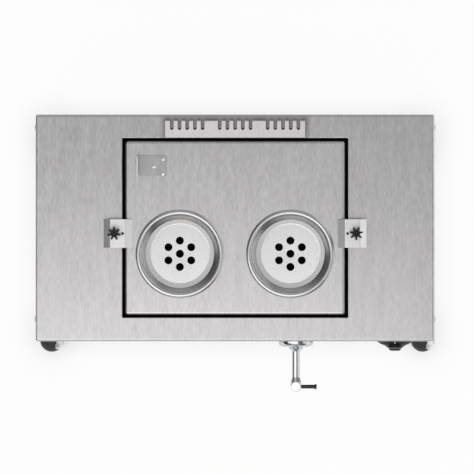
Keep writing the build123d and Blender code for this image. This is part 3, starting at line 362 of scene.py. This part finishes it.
def grip_highlight_black(name, front):
    """Matt black nylon with a painted highlight on its grip, drawn grey just behind its front end."""
    # In millimetres: where the painted highlight begins and ends behind the front end, and how softly
    from_front, to_front, soft_edge = 6.5, 2.0, 1.5
    material = moulded_black(name, ("#0d0d0e", "#151516"), specular=0.16)
    tree = material.node_tree
    place = add(tree, "ShaderNodeTexCoord")
    depth = add(tree, "ShaderNodeSeparateXYZ", {0: place.outputs["Object"]})
    middle = front + (from_front + to_front) / 2 * MM
    half = (from_front - to_front) / 2
    offset = add(tree, "ShaderNodeMath", {0: depth.outputs[1], 1: middle}, operation="SUBTRACT")
    distance = add(tree, "ShaderNodeMath", {0: offset.outputs[0]}, operation="ABSOLUTE")
    limits = {"From Min": half * MM, "From Max": (half - soft_edge) * MM}
    highlight_share = add(tree, "ShaderNodeMapRange", {"Value": distance.outputs[0], **limits})
    # Painted highlight: the grip drawn grey
    blend_in(material, highlight_share.outputs[0], "#747475")
    return material


def dark_nylon():
    """Dark moulded nylon: charcoal with a soft gloss, a little scuffed by the floor."""
    inputs, colours = {"IOR": 1.53, "Specular IOR Level": 0.2}, ("#3c3c3d", "#4b4b4c")
    return speckled("dark_nylon", inputs, colours, (0.42, 0.55), grit_mm=5.0, height_mm=0.01, detail=4.0)


def black_silicone_and_gap_shade():
    """Black silicone rubber, drawn darker than rubber is as painted shade of the gaps it lies in: matt, and
    a shade greyer in places.
    """
    # Painted shade: colours far darker than black rubber
    inputs, colours = {"IOR": 1.41, "Specular IOR Level": 0.1}, ("#020202", "#040404")
    return speckled("black_silicone_and_gap_shade", inputs, colours, (0.7, 0.85), grit_mm=2.5, height_mm=0.02)


def white_acrylic():
    """White acrylic inlay: bright, smooth and faintly mottled."""
    colours = ("#e4e4e2", "#f2f2f0")
    return speckled("white_acrylic", {"IOR": 1.49}, colours, (0.3, 0.4), grit_mm=1.0)


# Pieces


def new_object(name, data):
    """Puts a mesh, lamp or camera into the scene."""
    thing = bpy.data.objects.new(name, data)
    bpy.context.scene.collection.objects.link(thing)
    return thing


def dress(material, *nodes):
    """Gives CAD nodes a material."""
    for name in nodes:
        data = frame["nodes"][name].data
        data.materials.clear()
        data.materials.append(material)


def dress_casing():
    """Sheet metal outside, and the frame, tank, flue and burner tray inside."""
    deck_sheet = brushed_stainless("brushed_stainless_deck_vented", DECK_BRUSHING, DECK_COLOURS)
    # Painted shade on the deck under the flue cowl
    paint_shade_in_box(deck_sheet, *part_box("flue_cowl"))
    dress(deck_sheet, "deck_panel")
    dress(brushed_stainless("brushed_stainless_lid", DECK_BRUSHING, LID_COLOURS), "lid_panel", "base_plate")
    # Painted shade: the cowl drawn darker than the deck
    dress(brushed_stainless("brushed_stainless_cowl", DECK_BRUSHING, COWL_SHADED_COLOURS), "flue_cowl")
    panel_sheet = brushed_stainless("brushed_stainless_panels", PANEL_BRUSHING, PANEL_COLOURS)
    dress(panel_sheet, "left_side_panel", "right_side_panel", "front_panel", "rear_panel")
    dress(mill_stainless(), "flue_duct", "burner_tray")
    dress(limed_stainless(), "water_tank")
    dress(grey_primer(), "chassis_frame")


def dished_seat(side):
    """The CAD seat as the spinning leaves it: shelf and bottom slightly dished, the lip rolled outwards."""
    node = f"{side}_teapot_seat"
    low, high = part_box(node)
    centre = (low + high) / 2
    shelf_inner, shelf_outer = (radius * MM for radius in SHELF)
    lip_inner, lip_crest, lip_outer = (radius * MM for radius in LIP)
    shift = ROLLED_CREST * MM - lip_crest
    shape = bmesh.new()
    shape.from_mesh(frame["nodes"][node].data)
    bmesh.ops.remove_doubles(shape, verts=shape.verts, dist=MERGE_DISTANCE * MM)
    for vertex in shape.verts:
        from_axis = (vertex.co - centre).xy
        radius = from_axis.length
        shelf_fall = max(shelf_outer - max(radius, shelf_inner), 0) * tan(SHELF_DIP)
        bottom_fall = max(shelf_inner - radius, 0) * tan(BOTTOM_DIP)
        vertex.co.z -= shelf_fall + bottom_fall
        if lip_inner < radius < lip_outer:
            edge = lip_inner if radius < lip_crest else lip_outer
            rolled = radius + shift * (radius - edge) / (lip_crest - edge)
            vertex.co.xy = centre.xy + from_axis * (rolled / radius)
    for face in shape.faces:
        face.smooth = True
    mesh = bpy.data.meshes.new(f"{side}_dished_seat")
    shape.to_mesh(mesh)
    shape.free()
    mesh.attributes.remove(mesh.attributes["custom_normal"])
    mesh.set_sharp_from_angle(angle=SHARP_ANGLE)
    mesh.materials.clear()
    mesh.materials.append(spun_stainless(f"spun_stainless_{side}", centre))
    piece = new_object(f"{side}_dished_seat", mesh)
    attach(piece, "lid")
    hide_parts(node)


def dress_lid():
    """What lies on the lid and holds it, and the rubber seals."""
    satin = satin_stainless()
    for side in SIDES:
        dished_seat(side)
        dress(satin, f"{side}_clamp_bridge")
    # The bracket's upper edge carries a painted highlight
    bracket_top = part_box("lid_bracket")[1].z
    dress(edge_highlit_stainless("rubbed_stainless_bracket", bracket_top), "lid_bracket")
    dress(bright_aluminium(), "lid_bracket_rivets")
    dress(black_silicone_and_gap_shade(), "lid_seal", "tap_seal_washer")


def dress_fittings():
    """Zinc-plated hardware, black grips and knobs, and the chrome tap."""
    zinc = bright_zinc()
    dress(zinc, "deck_screws", "panel_screws", "clamp_rivet_nuts", "caster_sockets")
    dress(zinc, "valve_stem", "valve_push_pin")
    star = moulded_black("moulded_black_nylon", ("#101011", "#19191a"), specular=0.35)
    for side in SIDES:
        dress(zinc, f"{side}_knob_stud", f"{side}_knob_washer")
        dress(star, f"{side}_star_knob")
    for corner in CORNERS:
        dress(zinc, f"{corner}_caster_stem")
    # The gas knob's grip carries a painted highlight
    knob_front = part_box("control_knob")[0].y
    dress(grip_highlight_black("worn_black_nylon", knob_front), "control_knob")
    dress(moulded_black("moulded_black_grip", ("#1b1b1c", "#262627"), specular=0.5), "tap_grip")
    dress(polished_chrome(), "tap_rosette", "tap_body", "tap_plug", "tap_lever")


def dress_gas_train():
    """Brass valves, copper and steel pipes, and the burner."""
    dress(machined_brass(), "gas_valve_body", "gas_valve_nut", "burner_injector", "tap_lock_nut")
    dress(drawn_copper(), "burner_feed_pipe", "thermocouple")
    dress(galvanised_steel(), "gas_inlet_pipe")
    dress(sooted_iron(), "burner")


def dress_casters():
    """Plated hoods over dark wheels."""
    plated, nylon = plated_zinc_casting(), dark_nylon()
    for corner in CORNERS:
        dress(plated, f"{corner}_caster_hood")
        dress(nylon, f"{corner}_caster_wheel")


# Gas knob: (radius, depth from its back) of its skirt's rim and of the skirt's inner end, in millimetres
SKIRT_RIM, SKIRT_TOP = (31.5, 0.8), (24.5, 5.2)
# The mark on its skirt, how far it is let in, and the rounding of its upper edge, in millimetres
MARK_WIDTH, MARK_LENGTH, MARK_HEIGHT, MARK_SUNK, MARK_ROUNDING = 2.6, 5.0, 0.5, 0.2, 0.2
# Sides of the oval
MARK_SIDES = 32


def knob_index_mark():
    """White oval mark, inlaid along the skirt of the gas knob at twelve o'clock."""
    shape = bmesh.new()
    bmesh.ops.create_circle(shape, cap_ends=True, segments=MARK_SIDES, radius=1.0)
    bmesh.ops.scale(shape, vec=(MARK_WIDTH / 2 * MM, MARK_LENGTH / 2 * MM, 1), verts=shape.verts)
    raised = bmesh.ops.extrude_face_region(shape, geom=shape.faces[:])["geom"]
    upper = [part for part in raised if isinstance(part, bmesh.types.BMVert)]
    bmesh.ops.translate(shape, vec=(0, 0, MARK_HEIGHT * MM), verts=upper)
    rim = [edge for edge in shape.edges if all(v in upper for v in edge.verts)]
    rounding = MARK_ROUNDING * MM
    bmesh.ops.bevel(shape, geom=rim, offset=rounding, affect="EDGES", segments=3, profile=0.5, material=-1)
    bmesh.ops.recalc_face_normals(shape, faces=shape.faces)
    knob_low, knob_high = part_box("control_knob")
    axis = (knob_low + knob_high) / 2
    radius, depth = ((rim_size + top_size) / 2 for rim_size, top_size in zip(SKIRT_RIM, SKIRT_TOP))
    uphill = Vector((0, SKIRT_TOP[1] - SKIRT_RIM[1], SKIRT_RIM[0] - SKIRT_TOP[0])).normalized()
    outward = Vector((1, 0, 0)).cross(uphill)
    place = Vector((axis.x, knob_high.y - depth * MM, axis.z + radius * MM)) - outward * MARK_SUNK * MM
    turn = Matrix(((1, 0, 0), uphill, outward)).transposed().to_4x4()
    bmesh.ops.transform(shape, matrix=Matrix.Translation(place) @ turn, verts=shape.verts)
    mesh = bpy.data.meshes.new("knob_index_mark")
    shape.to_mesh(mesh)
    shape.free()
    mesh.materials.append(white_acrylic())
    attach(new_object("knob_index_mark", mesh), "gas_knob")


# Studio

# Floor: its width in metres, and how much of it shows as plain white
FLOOR_WIDTH, WHITE_SHARE = 80.0, 0.96
# The shade close round the object: how far it reaches in metres, and how deep it is
SHADE_REACH, SHADE_DEPTH = 0.065, 0.4
# The shadow under the base: how far cover counts in metres, how open full shadow and full light are, and
# the light that is left in it
COVER_REACH, COVERED, UNCOVERED, COVER_LIGHT = 0.6, 0.08, 0.42, 0.2
# Rays that feel for cover at each point
COVER_RAYS = 8
# The paper as it renders, for views that look past the end of the floor
PAPER_WHITE = 0.975
# The studio's walls: an even level, and glows with a direction, how fast they fade from it, and a strength
WALLS = 0.035
GLOWS = (
    ((-0.2, -0.22, 0.955), 8.0, 0.64),
    ((-0.1, -0.7, 0.7), 6.0, 0.56),
    ((0.0, 0.94, 0.34), 6.0, 0.34),
    ((0.0, 0.75, 0.66), 6.0, 0.3),
    ((0.0, -0.98, 0.2), 14.0, 0.45),
)
# Softboxes: place, what they face, width and depth in metres, and watts
SOFTBOXES = {
    "overhead_softbox": ((-0.7, -0.61, 1.65), (-0.7, -0.61, 0.0), 2.3, 1.1, 9.5),
    "right_panel": ((2.2, 0.8, 1.15), (0.0, 0.8, 1.15), 4.8, 2.2, 33.0),
}
# The photograph looks straight down: its width, the size of a pixel on the deck, and the deck's centre in it
PHOTO_PIXELS = 474
PIXEL = 1.7537 * MM
DECK_CENTRE_PIXEL = (235.13, 227.83)
# Focal length and sensor width of the camera, in millimetres
LENS, SENSOR = 1600.0, 36.0


def seen(tree):
    """1 for the camera's rays, and for those that mirror or pass through and so show what it would see."""
    path = add(tree, "ShaderNodeLightPath")
    share = path.outputs["Is Camera Ray"]
    for kind in ("Is Glossy Ray", "Is Transmission Ray"):
        either = add(tree, "ShaderNodeMath", {0: share, 1: path.outputs[kind]}, operation="MAXIMUM")
        share = either.outputs[0]
    return share


def floor():
    """Pale paper: white but for a soft shade round the object and a deep shadow under it."""
    mesh = bpy.data.meshes.new("floor")
    shape = bmesh.new()
    bmesh.ops.create_grid(shape, x_segments=1, y_segments=1, size=FLOOR_WIDTH / 2)
    shape.to_mesh(mesh)
    shape.free()
    material = bpy.data.materials.new("floor_paper")
    material.use_nodes = True
    tree = material.node_tree
    tree.nodes.clear()
    paper = add(tree, "ShaderNodeBsdfDiffuse", {"Color": linear("#f9f9f9")})
    near = add(tree, "ShaderNodeAmbientOcclusion", {"Distance": SHADE_REACH}, samples=COVER_RAYS)
    shade = add(tree, "ShaderNodeMapRange", {"Value": near.outputs["AO"], "To Min": 1 - SHADE_DEPTH})
    far = add(tree, "ShaderNodeAmbientOcclusion", {"Distance": COVER_REACH}, samples=COVER_RAYS)
    limits = {"From Min": COVERED, "From Max": UNCOVERED, "To Min": COVER_LIGHT}
    cover = add(tree, "ShaderNodeMapRange", {"Value": far.outputs["AO"], **limits})
    level = add(tree, "ShaderNodeMath", {0: shade.outputs[0], 1: cover.outputs[0]}, operation="MULTIPLY")
    white = add(tree, "ShaderNodeEmission", {"Color": WHITE, "Strength": level.outputs[0]})
    share = add(tree, "ShaderNodeMath", {0: seen(tree), 1: WHITE_SHARE}, operation="MULTIPLY")
    surfaces = {0: share.outputs[0], 1: paper.outputs[0], 2: white.outputs[0]}
    mixed = add(tree, "ShaderNodeMixShader", surfaces)
    add(tree, "ShaderNodeOutputMaterial", {"Surface": mixed.outputs[0]})
    mesh.materials.append(material)
    new_object("floor", mesh)


def world():
    """Soft studio walls: pale overhead, in front and behind, dim at the sides; paper below the horizon."""
    studio = bpy.data.worlds.new("studio")
    bpy.context.scene.world = studio
    studio.use_nodes = True
    tree = studio.node_tree
    tree.nodes.clear()
    direction = add(tree, "ShaderNodeTexCoord").outputs["Generated"]
    level = WALLS
    for towards, sharpness, strength in GLOWS:
        along = add(tree, "ShaderNodeVectorMath", {0: direction, 1: towards}, operation="DOT_PRODUCT")
        facing = add(tree, "ShaderNodeMath", {0: along.outputs["Value"], 1: 0.0}, operation="MAXIMUM")
        glow = add(tree, "ShaderNodeMath", {0: facing.outputs[0], 1: sharpness}, operation="POWER")
        terms = {0: glow.outputs[0], 1: strength, 2: level}
        level = add(tree, "ShaderNodeMath", terms, operation="MULTIPLY_ADD").outputs[0]
    height = add(tree, "ShaderNodeSeparateXYZ", {0: direction})
    below = add(tree, "ShaderNodeMath", {0: height.outputs[2], 1: 0.0}, operation="LESS_THAN")
    share = add(tree, "ShaderNodeMath", {0: seen(tree), 1: below.outputs[0]}, operation="MULTIPLY")
    choices = {"Factor": share.outputs[0], 2: level, 3: PAPER_WHITE}
    shown = add(tree, "ShaderNodeMix", choices, data_type="FLOAT")
    light = add(tree, "ShaderNodeBackground", {"Color": WHITE, "Strength": shown.outputs[0]})
    add(tree, "ShaderNodeOutputWorld", {"Surface": light.outputs[0]})


def softboxes():
    """A softbox over the front left and a long bright panel at the right, both unseen by the camera."""
    for name, (place, target, width, depth, watts) in SOFTBOXES.items():
        lamp = bpy.data.lights.new(name, "AREA")
        lamp.shape = "RECTANGLE"
        lamp.size, lamp.size_y, lamp.energy = width, depth, watts
        box = new_object(name, lamp)
        box.location = place
        box.rotation_euler = (Vector(target) - Vector(place)).to_track_quat("-Z", "Y").to_euler()
        box.visible_camera = False


def camera():
    """Straight down, from far off, with the deck where the photograph has it."""
    data = bpy.data.cameras.new("camera")
    data.lens, data.sensor_width = LENS, SENSOR
    distance = PHOTO_PIXELS * PIXEL * LENS / SENSOR
    data.clip_start, data.clip_end = 0.1, 2 * distance
    deck_low, deck_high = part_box("deck_panel")
    middle = (deck_low + deck_high) / 2
    across, down = ((PHOTO_PIXELS / 2 - place) * PIXEL for place in DECK_CENTRE_PIXEL)
    eye = new_object("camera", data)
    eye.location = (middle.x + across, middle.y - down, deck_high.z + distance)
    bpy.context.scene.camera = eye


dress_casing()
dress_lid()
dress_fittings()
dress_gas_train()
dress_casters()
knob_index_mark()
floor()
world()
softboxes()
camera()
bpy.context.scene.view_settings.view_transform = "Standard"
